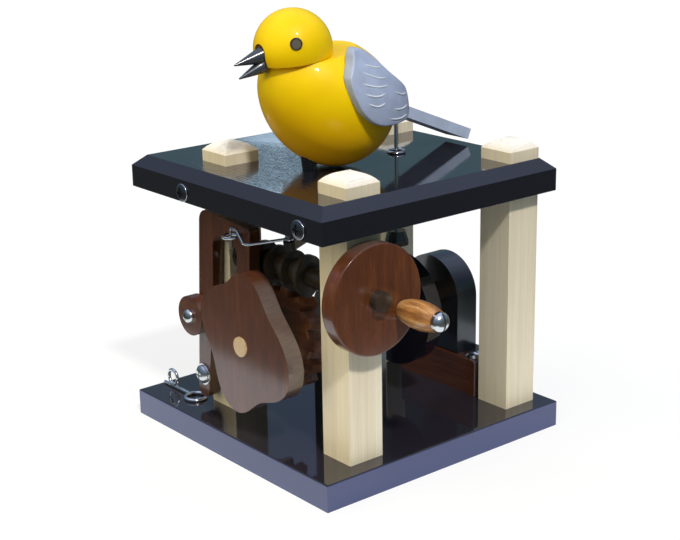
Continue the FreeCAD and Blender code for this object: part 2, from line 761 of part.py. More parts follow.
post_face = post_front_y - post_side / 2
pivot_face = lever_pivot - Y * pivot_washer_thickness
pivot_shank = rod(pivot_screw_radius, pivot_face, Y, post_face + pivot_screw_depth - pivot_face.y)
pivot_head = domed_head(pivot_head_radius, pivot_head_dome, pivot_face, -Y, X)
pivot_screw = pivot_shank.fuse(pivot_head)
make("lever_screw", pivot_screw.cut(cross_slot(pivot_face, -Y, X, pivot_head_dome, pivot_head_radius)))
lever_back = lever_front + lever_thickness
front_washer = ring(pivot_washer_radius, pivot_screw_radius + glued, pivot_face, Y,
                    pivot_washer_thickness - 0.1)
back_washer = ring(pivot_washer_radius, pivot_screw_radius + glued, V(lever_pivot_x, lever_back + 0.1, lever_pivot_z),
                   Y, post_face - lever_back - 0.1)
make("lever_washers", Part.makeCompound([front_washer, back_washer]))


# ================= bird =================

def egg(grow, stretch=0.0):
    """The body's egg, grown by a margin on every side, as a loft through elliptic sections."""
    length = body_half_length + grow + stretch
    sections = [Part.Vertex(V(0, 0, length))]
    steps = 16
    for i in range(1, steps):
        angle = math.pi * i / steps
        along = math.cos(angle)
        radius = (body_radius + grow) * math.sin(angle) * (1 - body_egg * along)
        section = Part.Ellipse(V(0, 0, length * along), radius * body_spread, radius)
        sections.append(Part.Wire(section.toShape()))
    sections.append(Part.Vertex(V(0, 0, -length)))
    solid = Part.makeLoft(sections, True, False)
    solid.rotate(V(0, 0, 0), X, 90 - body_tilt)
    solid.translate(V(bird_x, body_y, body_z))
    return solid


def above_neck(lift):
    """Everything above the neck's plane, moved up by lift."""
    half = 4 * head_radius
    slab = box(-half, -half, 0, half, half, half)
    slab.rotate(V(0, 0, 0), X, neck_tilt)
    slab.translate(neck_point + neck_axis * lift)
    return slab


def tail_sweep():
    """The room that the tail takes in the body between rest and its highest place."""
    low = -tail_thickness / 2 - loose
    high = tail_thickness / 2 + loose
    half = tail_width / 2 + loose
    board = box(-half, -tail_root - loose, low, half, tail_length, high)
    swept = []
    for lift in (0, tail_lift / 3, tail_lift * 2 / 3, tail_lift):
        turned = board.copy()
        turned.rotate(V(0, 0, 0), X, lift - tail_slope)
        turned.translate(tail_pivot)
        swept.append(turned)
    return swept[0].fuse(swept[1:])


tail_pin_start = tail_pivot - X * (tail_pin_length / 2)
rod_hole = rod(head_rod_radius + running, head_centre - neck_axis * far / 2, neck_axis, far)
stem_top = neck_point - neck_axis * (neck_gap + loose)
plate_hit = (neck_point.z - top_under) / neck_axis.z
stem_reach = (top_upper + stem_grip - neck_point.z) / neck_axis.z
stem = rod(stem_radius, neck_point - neck_axis * (plate_hit + 4), neck_axis, plate_hit + 4 + stem_reach)
stem = stem.cut(box(-far, -far, 0, far, far, top_under))
stem_hole = rod(stem_radius + glued, neck_point - neck_axis * (plate_hit + 4), neck_axis,
                plate_hit + 4 + stem_reach + glued)

inner_egg = egg(0)
sweep = tail_sweep()
beak_relief = box(-beak_relief_half_width, -far, 0, beak_relief_half_width, 0, far)
beak_relief.rotate(V(0, 0, 0), X, neck_tilt + beak_relief_slope)
beak_relief.translate(neck_point - neck_axis * neck_gap + X.cross(neck_axis) * beak_relief_reach)
body = inner_egg.cut(above_neck(-neck_gap)).cut(sweep).cut(stem_hole)
body = body.cut(beak_relief)
body = body.cut(rod(head_rod_radius + body_rod_gap, head_centre - neck_axis * far / 2, neck_axis, far))
body = body.cut(rod(tail_pin_radius + glued, tail_pin_start, X, tail_pin_length))
make("bird_body", body)
make("bird_stem", stem.cut(rod_hole))


def right_wing():
    """The part of a grown egg inside the wing's outline, hollowed by the body."""
    outline = [V(bird_x, body_y + back, body_z + up) for back, up in wing_outline]
    curve = Part.BSplineCurve()
    curve.interpolate(outline, PeriodicFlag=True)
    inboard = box(-far, -far, 0, wing_inner, far, far)
    inboard.rotate(V(wing_inner, outline[0].y - body_y, 0), Z, wing_inner_slope)
    inboard.translate(V(bird_x, body_y, 0))
    edge = prism(Part.Wire(curve.toShape()), X * far).cut(inboard)
    shell = edge.common(egg(wing_cover, wing_stretch)).cut(egg(glued)).cut(sweep)
    shell = shell.cut(Part.makeSphere(head_radius + wing_head_gap, head_centre))
    return shell.cut(rod(tail_pin_radius + glued, tail_pin_start, X, tail_pin_length))


wing = right_wing()
make("right_wing", wing)
make("left_wing", wing.mirror(V(bird_x, 0, 0), X))


# ---- head ----

head = Part.makeSphere(head_radius, head_centre).common(above_neck(0))
flat_y = head_y - beak_face
notch_top = head_centre + V(0, -far, beak_notch_rise)
notch = box(bird_x - beak_notch_half_width, -far, 0, bird_x + beak_notch_half_width, flat_y, notch_top.z)
head = head.cut(notch).cut(rod(beak_notch_half_width, notch_top, Y, far - beak_face))


def beak(root, tip, radius):
    """One half of the beak: a cone from inside the head to its tip."""
    start = head_centre + V(0, -root[0], root[1])
    along = head_centre + V(0, -tip[0], tip[1]) - start
    length = along.Length
    along.normalize()
    return revolve([(0, 0), (radius, 0), (beak_tip_radius, length - beak_tip_radius), (0, length)],
                   start, along, X)


upper_beak = beak(upper_beak_root, upper_beak_tip, upper_beak_radius)
lower_beak = beak(lower_beak_root, lower_beak_tip, lower_beak_radius).cut(upper_beak)
beak_front = box(-far, -far, 0, far, flat_y, far)
head_hole = rod(head_rod_radius + glued, neck_point - neck_axis, neck_axis, 1 + head_rod_grip + glued)
head = head.cut(head_hole)


def eye_direction(side):
    turn, rise = math.radians(bird_eye_side), math.radians(bird_eye_rise)
    return V(side * math.sin(turn) * math.cos(rise), -math.cos(turn) * math.cos(rise), math.sin(rise))


def bird_eye(side, grow=0.0):
    outward = eye_direction(side)
    start = head_centre + outward * (head_radius - bird_eye_depth - grow)
    if grow:
        return rod(bird_eye_radius + grow, start, outward, far)
    return rod(bird_eye_radius, start, outward, bird_eye_depth + bird_eye_proud)


for side in (1, -1):
    head = head.cut(bird_eye(side, glued))


def turned(shape):
    """A piece of the head, looking aside as the head does at rest."""
    aside = shape.copy()
    aside.rotate(head_centre, neck_axis, head_turned)
    return aside


make("bird_head", turned(head))
make("bird_eyes", turned(Part.makeCompound([bird_eye(1), bird_eye(-1)])))
make("upper_beak", turned(upper_beak.common(beak_front)))
make("lower_beak", turned(lower_beak.common(beak_front)))

# ---- head linkage ----


def on_neck_plane(x, y, drop):
    """A point at x and y, drop below the plane through the neck that is square to the head's axis."""
    origin = neck_point - neck_axis * drop
    return V(x, y, origin.z - (y - origin.y) * neck_axis.y / neck_axis.z)


arm_drop = (neck_point.z - top_under + head_rod_drop) / neck_axis.z - 1.0
head_rod = rod(head_rod_radius, neck_point - neck_axis * (arm_drop + 1.0), neck_axis,
               arm_drop + 1.0 + head_rod_grip)
make("head_rod", head_rod)

hub = neck_point - neck_axis * arm_drop
pin_low = on_neck_plane(arm_pin_x, arm_pin_y, arm_drop)
reach = pin_low - hub
across = neck_axis.cross(reach).normalize()
bar = prism(Part.makePolygon([hub + across * arm_hub_radius, pin_low + across * arm_tip_radius,
                              pin_low - across * arm_tip_radius, hub - across * arm_hub_radius,
                              hub + across * arm_hub_radius]), neck_axis * arm_thickness)
arm = bar.fuse(rod(arm_hub_radius, hub, neck_axis, arm_thickness))
arm = arm.fuse(rod(arm_tip_radius, pin_low, neck_axis, arm_thickness))
arm = arm.cut(rod(head_rod_radius + glued, hub - neck_axis, neck_axis, arm_thickness + 2))
arm = arm.cut(rod(arm_pin_radius + glued, pin_low - neck_axis, neck_axis, arm_thickness + 2))
make("head_arm", arm)

link_level = arm_drop - arm_thickness - loose - link_wire_radius
pin_length = arm_thickness + 3 * loose + 2 * link_wire_radius
arm_pin = rod(arm_pin_radius, pin_low, neck_axis, pin_length)
arm_pin = arm_pin.fuse(rod(arm_pin_head, pin_low + neck_axis * pin_length, neck_axis, 0.8))
make("arm_pin", arm_pin)

link_bend = on_neck_plane(eye_x + link_bend_side, eye_y, link_level)
link_foot = on_neck_plane(eye_x + link_climb_side, eye_y, link_level)
link_crest = on_neck_plane(eye_x + eye_ring_radius + link_bend_radius, eye_y, link_level - link_climb)
link_end = on_neck_plane(eye_x, eye_y, link_level - link_climb)
link_eye = pin_low + neck_axis * (arm_drop - link_level)
pull = (link_bend - link_eye).normalize()
link_start = link_eye + pull * link_loop_radius
link = wire_rod([link_start, link_bend, link_foot, link_crest, link_end, link_end - Z * link_leg],
                link_bend_radius, link_wire_radius)
make("link_wire", link.fuse(torus(link_eye, neck_axis, link_loop_radius, link_wire_radius)))


# ================= push rod and tail =================

def tail():
    board = box(-tail_width / 2, -tail_root, -tail_thickness / 2, tail_width / 2, tail_length,
                tail_thickness / 2)
    board.rotate(V(0, 0, 0), X, -tail_slope)
    board.translate(tail_pivot)
    return board.cut(rod(tail_pin_radius + running, tail_pin_start, X, tail_pin_length))


make("tail", tail())
make("tail_pin", rod(tail_pin_radius, tail_pin_start, X, tail_pin_length))

rod_top = tail_under_at_rod - loose
push_start = shoe_bottom + 2.0
push = rod(push_radius, V(push_x, push_y, push_start), Z, rod_top - push_start)
make("push_rod", push.makeFillet(push_radius * 0.9, [e for e in push.Edges if all(v.Z > rod_top - 0.01
                                                                               for v in e.Vertexes)][:1]))
shoe_hole = rod(push_radius + glued, V(push_x, push_y, push_start), Z, far)
shoe = revolve([(0, 0), (shoe_radius, 0), (shoe_radius, 2.0), (shoe_neck_radius, shoe_height),
                (0, shoe_height)], V(push_x, push_y, shoe_bottom), Z, X)
make("push_rod_shoe", shoe.cut(shoe_hole))
guide = box(push_x - guide_side / 2, push_y - guide_side / 2, top_under - guide_height,
            push_x + guide_side / 2, push_y + guide_side / 2, top_under)
make("rod_guide", guide.cut(push_bore))
make("rod_eyelet", torus(V(push_x, push_y, top_upper + eyelet_wire), Z, eyelet_radius - eyelet_wire, eyelet_wire))

# ================= wire hook on the base =================

hook_level = base_top + hook_wire
flat_ring = V(flat_ring_x, hook_y, hook_level)
hook_end = flat_ring_x - flat_ring_radius
hook = rod(hook_wire, V(hook_left, hook_y, hook_level), X, hook_end - hook_left)
hook = hook.fuse(torus(flat_ring, Z, flat_ring_radius, hook_wire))
upright_ring = V(upright_ring_x, hook_y, hook_level + upright_ring_radius + hook_wire)
make("wire_hook", hook.fuse(torus(upright_ring, Y, upright_ring_radius, hook_wire)))
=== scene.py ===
"""Looks of the wooden crank automaton: finishes, fine detail, light and camera around the fixed frame."""

import math

import bmesh
import bpy
from mathutils import Matrix, Vector
from mathutils.bvhtree import BVHTree


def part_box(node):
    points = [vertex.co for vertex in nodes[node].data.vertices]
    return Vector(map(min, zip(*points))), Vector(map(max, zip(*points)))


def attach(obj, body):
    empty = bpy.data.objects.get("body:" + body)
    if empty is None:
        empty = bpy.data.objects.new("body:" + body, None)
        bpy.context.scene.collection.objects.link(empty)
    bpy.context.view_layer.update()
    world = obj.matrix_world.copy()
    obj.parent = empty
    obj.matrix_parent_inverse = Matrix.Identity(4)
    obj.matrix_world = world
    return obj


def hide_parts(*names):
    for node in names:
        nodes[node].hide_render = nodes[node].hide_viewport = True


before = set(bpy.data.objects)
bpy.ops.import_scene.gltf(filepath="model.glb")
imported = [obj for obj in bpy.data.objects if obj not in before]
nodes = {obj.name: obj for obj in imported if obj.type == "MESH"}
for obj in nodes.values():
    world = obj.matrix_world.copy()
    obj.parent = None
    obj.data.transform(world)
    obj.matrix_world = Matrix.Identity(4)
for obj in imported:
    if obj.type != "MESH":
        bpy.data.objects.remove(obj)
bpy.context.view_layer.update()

# ---- camera ----
IMAGE_WIDTH = 680               # pixels, of an image 540 high
CAMERA_AZIMUTH = 50.7
CAMERA_ELEVATION = 17.19
CAMERA_ROLL = -1.01
CAMERA_DISTANCE = 0.7149
CAMERA_TARGET = Vector((-0.00069, -0.00094, 0.07849))
CAMERA_FOCAL_PIXELS = 1462.7
CAMERA_SENSOR = 36.0

# ---- light ----
SUN_FROM = Vector((0.608, -0.228, 0.760))
SUN_STRENGTH = 2.4
SUN_SPREAD = math.radians(5.0)
SUN_COLOUR = (1.0, 0.97, 0.92)
FILL_FROM = Vector((-0.25, -0.85, 0.45))
FILL_STRENGTH = 1.75
FILL_SPREAD = math.radians(80.0)
FILL_COLOUR = (1.0, 0.87, 0.54)

# ---- surroundings ----
# height of a direction above the horizon, and the colour of the surroundings there
SURROUNDINGS = [(0.0, (0.10, 0.13, 0.13)), (0.15, (0.10, 0.17, 0.20)), (0.30, (0.11, 0.19, 0.23)),
                (0.44, (0.15, 0.19, 0.34)), (0.62, (0.26, 0.32, 0.44)), (0.80, (0.56, 0.66, 0.95)),
                (1.0, (0.58, 0.66, 0.86))]
LEAF_SCALE = 7.0
LEAF_WANDER = 0.16              # how far the layers of the surroundings wander up and down
GAP_FROM = Vector((-0.779, 0.582, 0.232))     # a bright gap low in the surroundings
GAP_COLOUR = (1.15, 1.55, 1.95)
GAP_EDGES = (math.cos(math.radians(2.4)), math.cos(math.radians(1.0)))
SOFT_TINT = (1.05, 0.99, 0.82)  # of the soft light that the surroundings give to matt surfaces
FLOOR_SIZE = 6.0
FLOOR_SEEN = (0.90, 0.90, 0.91)
SHEET_HALF = (0.21, 0.148)      # of a pale sheet under the stand, along x and y
SHEET_COLOUR = (0.85, 0.91, 1.0)
GROUND_COLOUR = (0.05, 0.06, 0.06)
SHADOW_SHARE = 0.25             # how much of the floor's shading the camera sees

# ---- tones of the woods, from dark to light ----
WALNUT = ((0.058, 0.018, 0.009), (0.088, 0.028, 0.012), (0.130, 0.043, 0.017))
# paler tone of walnut's cut ends and edges: partly end grain, partly a painted sheen
WALNUT_END_AND_SHEEN = (0.125, 0.090, 0.078)
REDDISH = ((0.075, 0.021, 0.008), (0.112, 0.032, 0.010), (0.170, 0.049, 0.014))
# dark walnut, darkened further and greyed as painted shade on the worm and crank shaft
DARK_WALNUT_AND_SHADE = ((0.026, 0.019, 0.014), (0.042, 0.031, 0.023), (0.060, 0.045, 0.035))
WHEEL = ((0.12, 0.042, 0.018), (0.22, 0.080, 0.034), (0.36, 0.145, 0.064))
MAPLE = ((0.66, 0.54, 0.36), (0.81, 0.71, 0.53), (0.90, 0.82, 0.66))
MAPLE_END = (0.93, 0.89, 0.84)
OAK = ((0.30, 0.115, 0.030), (0.52, 0.24, 0.072), (0.68, 0.38, 0.14))
DOWEL = ((0.42, 0.26, 0.13), (0.55, 0.37, 0.20), (0.66, 0.47, 0.28))
DOWEL_END = (0.60, 0.43, 0.26)

# ---- tones of the paints ----
GLOSS_BLACK = (0.009, 0.0088, 0.0150)
LEVEL_FACE_BLACK = (0.018, 0.016, 0.022)
# painted reflection: bluish grey on the base plate's sides, for the pale sheet mirrored in them
PAINTED_SIDE_REFLECTION = (0.040, 0.049, 0.138)
YELLOW_DEEP = (0.88, 0.57, 0.0)
YELLOW_BRIGHT = (0.95, 0.65, 0.001)
# painted shade: deeper orange on the bird's downward faces
YELLOW_PAINTED_SHADE = (1.0, 0.47, 0.0)
WING_GREY = (0.37, 0.43, 0.60)
TAIL_GREY = (0.46, 0.53, 0.70)

# most brushed part of the top plate: middle and reach along x, then along y
ROUGH_PATCH = ((-0.006, 0.060), (-0.038, 0.036))
BRUSH_DEPTH = 0.00020

# ---- bodies that the added pieces ride on ----
STAND = "stand"
HEAD = "head"

# ---- beads ----
BEAD_SIDES = 8
BEAD_FULL = 0.16                # a bead is full where the share of its way, times the rest, reaches this
RIM_STEPS = 48

# ---- wings ----
WING_ROOM = 1.1                 # size of the round shape that a wing follows, as a share of the body's
WING_FLATTEST = 0.12            # keeps the body's outline real beyond its edge
WING_EASE_HIGH = 0.0052         # how far the front edge moves back at the shoulder
WING_EASE_LOW = 0.0025          # and below it
WING_EASE_REACH = 0.026         # of the part that moves back, from the front edge
WING_EASE_DROP = 0.012          # of the shoulder's lower end below the wing's top
WING_EASE_BLEND = 0.008         # height over which the shoulder's easing sets in
WING_EASE_BACK = 0.0018         # how far the rear end moves back
WING_MERGE = 0.00001
WING_GRAIN = 0.00045            # cells in which the wing is shaped anew
WING_SANDING = 5                # rounds of smoothing

# end, end and sag of each feather edge, as (y, z) in millimetres
FEATHER_LINES = [((-18.9, 186.1), (-9.0, 183.7), -0.5), ((-21.6, 183.4), (-8.0, 179.3), -1.2),
                 ((-23.4, 178.6), (-8.3, 176.0), -1.0), ((-22.8, 174.1), (-11.0, 172.9), -1.3),
                 ((-21.5, 169.8), (-12.0, 168.9), -1.5), ((-4.4, 172.8), (7.0, 170.2), -1.0),
                 ((-6.6, 165.5), (6.5, 165.2), -1.0), ((-9.7, 161.5), (5.5, 161.0), -1.0)]
FEATHER_STEPS = 16
FEATHER_START = 0.2             # how far out to the side the search for the wing's face begins
FEATHER_FACING = 0.3            # how far the face must point outwards, at least
FEATHER_FEWEST = 4              # points that a feather edge needs
FEATHER_BEAD = 0.00050
FEATHER_END = 0.25              # size of a bead's ends, as a share of its middle
FEATHER_SUNK = 0.00012

# ---- rims ----
EYE_RADIUS = 0.0027
EYE_RIM = 0.00032
SCREW_HEAD_DEPTH = 0.0012
SCREW_RIM = 0.00035
SCREW_RIM_WIDTH = 0.0002        # of the head's outermost points, which give the rim its place


# ================= node helpers =================

class Nodes:
    """A node tree under construction, with short calls for the nodes that it needs."""

    def __init__(self, tree):
        self.tree = tree

    def feed(self, socket, value):
        """Sets a socket, or links it if the value is another node's socket."""
        if isinstance(value, bpy.types.NodeSocket):
            self.tree.links.new(value, socket)
        elif socket.type == "RGBA" and len(value) == 3:
            socket.default_value = (*value, 1.0)
        else:
            socket.default_value = value

    def node(self, kind, inputs=None, **values):
        """Makes a node with its own values, and feeds its inputs by their names or places."""
        made = self.tree.nodes.new(kind)
        for key, value in values.items():
            setattr(made, key, value)
        for name, value in (inputs or {}).items():
            self.feed(made.inputs[name], value)
        return made

    def noise(self, vector, scale=1.0, detail=3.0, roughness=0.5, distortion=0.0):
        made = self.node("ShaderNodeTexNoise", {"Vector": vector, "Scale": scale, "Detail": detail,
                                                "Roughness": roughness, "Distortion": distortion})
        return made.outputs["Fac"]

    def ramp(self, value, stops):
        made = self.node("ShaderNodeValToRGB", {"Fac": value})
        band = made.color_ramp
        while len(band.elements) < len(stops):
            band.elements.new(0.5)
        for element, (position, colour) in zip(band.elements, stops):
            element.position = position
            element.color = (*colour, 1.0)
        return made.outputs["Color"]

    def mix(self, factor, first, second, blend="MIX"):
        """Mixes two colours, which a mix node keeps at its places 6 and 7."""
        made = self.node("ShaderNodeMix", {0: factor, 6: first, 7: second}, data_type="RGBA", blend_type=blend)
        return made.outputs[2]

    def math(self, operation, first, second=0.0, third=0.0):
        return self.node("ShaderNodeMath", {0: first, 1: second, 2: third}, operation=operation).outputs[0]

    def split(self, vector):
        return self.node("ShaderNodeSeparateXYZ", {0: vector}).outputs

    def remap(self, value, low, high, to_low=0.0, to_high=1.0):
        return self.node("ShaderNodeMapRange", {"Value": value, "From Min": low, "From Max": high,
                                                "To Min": to_low, "To Max": to_high}).outputs["Result"]

    def blend(self, factor, first, second, output):
        """Leads one surface or another to the output."""
        self.feed(output, self.node("ShaderNodeMixShader", {0: factor, 1: first, 2: second}).outputs[0])


class Finish(Nodes):
    """A material under construction, with a Principled surface that its patterns feed."""

    def __init__(self, name):
        self.material = bpy.data.materials.new(name)
        self.material.use_nodes = True
        super().__init__(self.material.node_tree)
        self.tree.nodes.clear()
        self.surface = self.node("ShaderNodeBsdfPrincipled")
        self.output = self.node("ShaderNodeOutputMaterial", {"Surface": self.surface.outputs["BSDF"]})
        coordinates = self.node("ShaderNodeTexCoord")
        self.place = coordinates.outputs["Object"]
        self.facing = coordinates.outputs["Normal"]

    def set(self, **values):
        """Feeds the surface's inputs, written with an underscore for each space."""
        for name, value in values.items():
            self.feed(self.surface.inputs[name.replace("_", " ")], value)

    def mapped(self, scale, vector=None, rotation=(0, 0, 0), location=(0, 0, 0)):
        return self.node("ShaderNodeMapping", {"Vector": vector or self.place, "Scale": scale,
                                               "Rotation": rotation, "Location": location}).outputs["Vector"]

    def bump(self, height, distance, strength=1.0, after=None):
        made = self.node("ShaderNodeBump", {"Distance": distance, "Strength": strength, "Height": height})
        if after is not None:
            self.feed(made.inputs["Normal"], after)
        return made.outputs["Normal"]


# ================= kinds of finish =================

GRAIN = {"x": (0, 0, 0), "y": (0, 0, math.radians(90)), "z": (0, math.radians(90), 0)}
WANDER_SHARE = 0.45             # of the slow wander in a wood's tone, and the bands have the rest


def wood(name, tones, along, rings=150.0, stretch=0.05, roughness=0.4, coat=0.0, coat_roughness=0.1,
         coat_index=1.5, specular=0.4, pore=0.00004, shift=(0.0, 0.0, 0.0), spread=0.14,
         contrast=(0.72, 1.15), end=None, end_from=0.5, end_along=None):
    """Wood with its grain along one axis: slow bands, fine fibres, pores, and paler cut ends, which on walnut
    are partly a painted sheen.
    """
    shader = Finish(name)
    turned = shader.mapped((1, 1, 1), rotation=GRAIN[along], location=shift)
    slow = shader.mapped((stretch, 1, 1), vector=turned)
    fine = shader.mapped((stretch * 0.5, 1, 1), vector=turned)
    wander = shader.noise(slow, scale=rings * 0.4, detail=2.0, distortion=0.6)
    band = shader.noise(slow, scale=rings, detail=3.0, roughness=0.55, distortion=0.4)
    fibre = shader.noise(fine, scale=rings * 11, detail=4.0, roughness=0.7)
    tone = shader.math("MULTIPLY_ADD", band, 1 - WANDER_SHARE, shader.math("MULTIPLY", wander, WANDER_SHARE))
    dark, middle, light = tones
    base = shader.ramp(tone, [(0.5 - spread, dark), (0.5, middle), (0.5 + spread, light)])
    strokes = shader.remap(fibre, 0.35, 0.7, *contrast)
    grey = shader.node("ShaderNodeCombineColor", {"Red": strokes, "Green": strokes, "Blue": strokes})
    colour = shader.mix(1.0, base, grey.outputs[0], blend="MULTIPLY")
    # paler cut ends; on walnut these are partly a painted sheen
    if end is not None:
        across = shader.split(shader.facing)["xyz".index(end_along or along)]
        cut = shader.remap(shader.math("ABSOLUTE", across), end_from, end_from + 0.3)
        speck = shader.noise(shader.mapped((1, 0.12, 1), rotation=(0, 0, 0.5)), scale=1300.0, roughness=0.6)
        face = shader.ramp(speck, [(0.34, tuple(v * 0.80 for v in end)), (0.56, end)])
        colour = shader.mix(cut, colour, face)
    shader.set(Base_Color=colour, Roughness=roughness, Coat_Weight=coat, Coat_Roughness=coat_roughness,
               Coat_IOR=coat_index, Specular_IOR_Level=specular, Normal=shader.bump(fibre, pore, 0.6))
    return shader.material


def walnut(name, tones, along, shift, **changes):
    """Varnished walnut, with what all its pieces share, among it paler cut ends that are partly a painted
    sheen.
    """
    shared = dict(rings=420.0, stretch=0.14, coat=0.9, coat_roughness=0.14, coat_index=1.6, specular=0.12,
                  spread=0.22, end=WALNUT_END_AND_SHEEN)
    shared.update(changes)
    return wood(name, tones, along, shift=shift, **shared)


def painted(name, colour, roughness, coat=0.0, ripple=0.00002, ripple_scale=60.0, coat_roughness=0.03):
    """Brushed paint whose film is slightly uneven."""
    shader = Finish(name)
    uneven = shader.noise(shader.place, scale=ripple_scale, detail=2.0)
    shader.set(Base_Color=colour, Roughness=roughness, Coat_Weight=coat, Coat_Roughness=coat_roughness,
               Normal=shader.bump(uneven, ripple))
    return shader


def metal(name, colour, roughness):
    """Bare metal with fine scratches."""
    shader = Finish(name)
    streak = shader.noise(shader.mapped((1, 1, 6)), scale=700.0, detail=2.0)
    shader.set(Base_Color=colour, Metallic=1.0, Roughness=roughness, Normal=shader.bump(streak, 0.00001, 0.5))
    return shader.material


def gloss_black(name):
    """Black gloss paint."""
    return painted(name, GLOSS_BLACK, 0.07, coat=0.5, ripple=0.000012, ripple_scale=45.0)


def black_with_painted_side_reflection(name):
    """Black gloss paint whose upright sides carry a painted bluish reflection of the pale sheet, with a plain
    black on its top and bottom.
    """
    shader = gloss_black(name)
    # share of the painted side reflection: full on upright faces, none on top and bottom
    upright = shader.remap(shader.math("ABSOLUTE", shader.split(shader.facing)[2]), 0.5, 0.4)
    shader.set(Base_Color=shader.mix(upright, LEVEL_FACE_BLACK, PAINTED_SIDE_REFLECTION))
    return shader.material


def brushed_black(name):
    """Black gloss paint with brush strokes along the board, strongest in one patch of its upper face."""
    shader = gloss_black(name)
    brushed = shader.noise(shader.mapped((110.0, 700.0, 700.0)), roughness=0.6)
    shares = [shader.math("MULTIPLY", shader.math("SUBTRACT", place, middle), 1 / reach)
              for place, (middle, reach) in zip(shader.split(shader.place), ROUGH_PATCH)]
    away = [shader.math("POWER", share, 2.0) for share in shares]
    patch = shader.remap(shader.math("ADD", *away), 1.3, 0.5, 0.12, 1.0)
    patch = shader.math("MULTIPLY", patch, shader.remap(shader.split(shader.facing)[2], 0.97, 0.99))
    film = shader.surface.inputs["Normal"].links[0].from_socket
    strokes = shader.bump(shader.math("MULTIPLY", brushed, patch), BRUSH_DEPTH, after=film)
    shader.set(Normal=strokes, Coat_Normal=strokes)
    return shader.material


def bird_yellow(name):
    """Glossy yellow paint with a slightly uneven tint, and painted shade: deeper orange on what faces down."""
    shader = painted(name, YELLOW_BRIGHT, 0.42, coat=0.3, ripple=0.000015, ripple_scale=70.0)
    mottle = shader.noise(shader.place, scale=45.0)
    mottled_yellow = shader.ramp(mottle, [(0.35, YELLOW_DEEP), (0.65, YELLOW_BRIGHT)])
    # painted shade, strongest where the surface faces straight down
    under = shader.remap(shader.split(shader.facing)[2], -0.05, -0.85)
    shader.set(Base_Color=shader.mix(under, mottled_yellow, YELLOW_PAINTED_SHADE), Specular_IOR_Level=0.12)
    return shader.material


def feather_paint(name, colour):
    """Blue-grey paint with a soft brushed sheen."""
    shader = painted(name, colour, 0.45, coat=0.1, ripple=0.00003, ripple_scale=120.0, coat_roughness=0.3)
    mottle = shader.noise(shader.place, scale=160.0, detail=4.0, roughness=0.6)
    dull, bright = (tuple(v * share for v in colour) for share in (0.92, 1.08))
    shader.set(Base_Color=shader.ramp(mottle, [(0.35, dull), (0.65, bright)]))
    return shader.material


# ================= finishes of the pieces =================

walnut_x = walnut("walnut_along_x", WALNUT, "x", (0.05, 0.02, 0.07))
walnut_z = walnut("walnut_along_z", WALNUT, "z", (0.3, 0.1, 0.2), end_from=0.8)
walnut_disc = walnut("walnut_disc", REDDISH, "z", (0.3, 0.1, 0.2), end_from=0.8)
# the cam's edge faces take the paler end tone, partly as a painted sheen
walnut_cam = walnut("walnut_cam", WALNUT, "z", (0.1, 0.4, 0.2), coat_index=1.75, spread=0.24, end_along="x")
# dark walnut with painted shade, for the worm and the crank shaft
walnut_dark_and_painted_shade = wood("walnut_dark_and_painted_shade", DARK_WALNUT_AND_SHADE, "x", coat=0.7, coat_roughness=0.16, specular=0.12)
wheel_wood = wood("wheel_wood", WHEEL, "x", rings=260.0, stretch=0.1, coat=0.6, coat_roughness=0.16)
maple = wood("maple_post", MAPLE, "z", rings=170.0, stretch=0.03, roughness=0.5, coat=0.12,
             coat_roughness=0.3, pore=0.00002, spread=0.32, contrast=(0.90, 1.05), end=MAPLE_END)
oak = wood("oak_handle", OAK, "x", rings=480.0, stretch=0.07, roughness=0.35, coat=0.8, coat_roughness=0.06,
           spread=0.10, contrast=(0.70, 1.15))
dowel_y = wood("dowel_along_y", DOWEL, "y", rings=200.0, coat=0.3, coat_roughness=0.3, end=DOWEL_END)
black = gloss_black("black_gloss").material
black_base = black_with_painted_side_reflection("black_gloss_painted_side_reflection")
black_top = brushed_black("black_gloss_brushed")
black_part = painted("black_satin", (0.012, 0.012, 0.015), 0.25, coat=0.9, coat_roughness=0.10).material
yellow = bird_yellow("bird_yellow")
feather = feather_paint("feather_grey", WING_GREY)
tail_paint = feather_paint("tail_grey", TAIL_GREY)
feather_edge = painted("feather_edge", (0.62, 0.67, 0.76), 0.4, coat=0.15, coat_roughness=0.3).material
eye_edge = painted("eye_edge", (0.022, 0.016, 0.011), 0.35, coat=0.3).material
beak_paint = painted("beak_grey", (0.035, 0.042, 0.055), 0.30, coat=0.45, coat_roughness=0.12).material
eye_paint = painted("eye_brown", (0.10, 0.082, 0.06), 0.3, coat=0.5).material
# steel of the edge screws, darkened as painted shade
steel_with_painted_shade = metal("steel_with_painted_shade", (0.17, 0.17, 0.185), 0.30)
zinc = metal("zinc", (0.72, 0.72, 0.71), 0.20)
nickel = metal("nickel_wire", (0.80, 0.80, 0.80), 0.14)

DRESSED = {
    black: ["rear_cam"],
    black_base: ["base_plate"],
    black_top: ["top_plate"],
    maple: ["front_right_post", "back_right_post", "front_left_post", "back_left_post"],
    walnut_x: ["rear_foot", "roller"],
    walnut_cam: ["star_cam"],
    walnut_z: ["follower_lever"],
    walnut_disc: ["crank_disc"],
    walnut_dark_and_painted_shade: ["worm", "crank_shaft"],
    wheel_wood: ["worm_wheel"],
    oak: ["crank_handle"],
    dowel_y: ["cam_shaft"],
    black_part: ["rear_upright", "middle_upright", "crank_collar", "shaft_collars", "bird_stem", "head_arm",
                 "push_rod_shoe", "rod_guide"],
    yellow: ["bird_body", "bird_head"],
    feather: ["right_wing", "left_wing"],
    tail_paint: ["tail"],
    beak_paint: ["upper_beak", "lower_beak"],
    eye_paint: ["bird_eyes"],
    steel_with_painted_shade: ["edge_screws"],
    zinc: ["base_screws", "foot_screw", "crank_washer", "handle_screw", "roller_screw",
           "roller_washer", "lever_screw", "lever_washers"],
    nickel: ["lever_eye", "head_rod", "arm_pin", "link_wire", "tail_pin", "push_rod", "rod_eyelet",
             "wire_hook"],
}


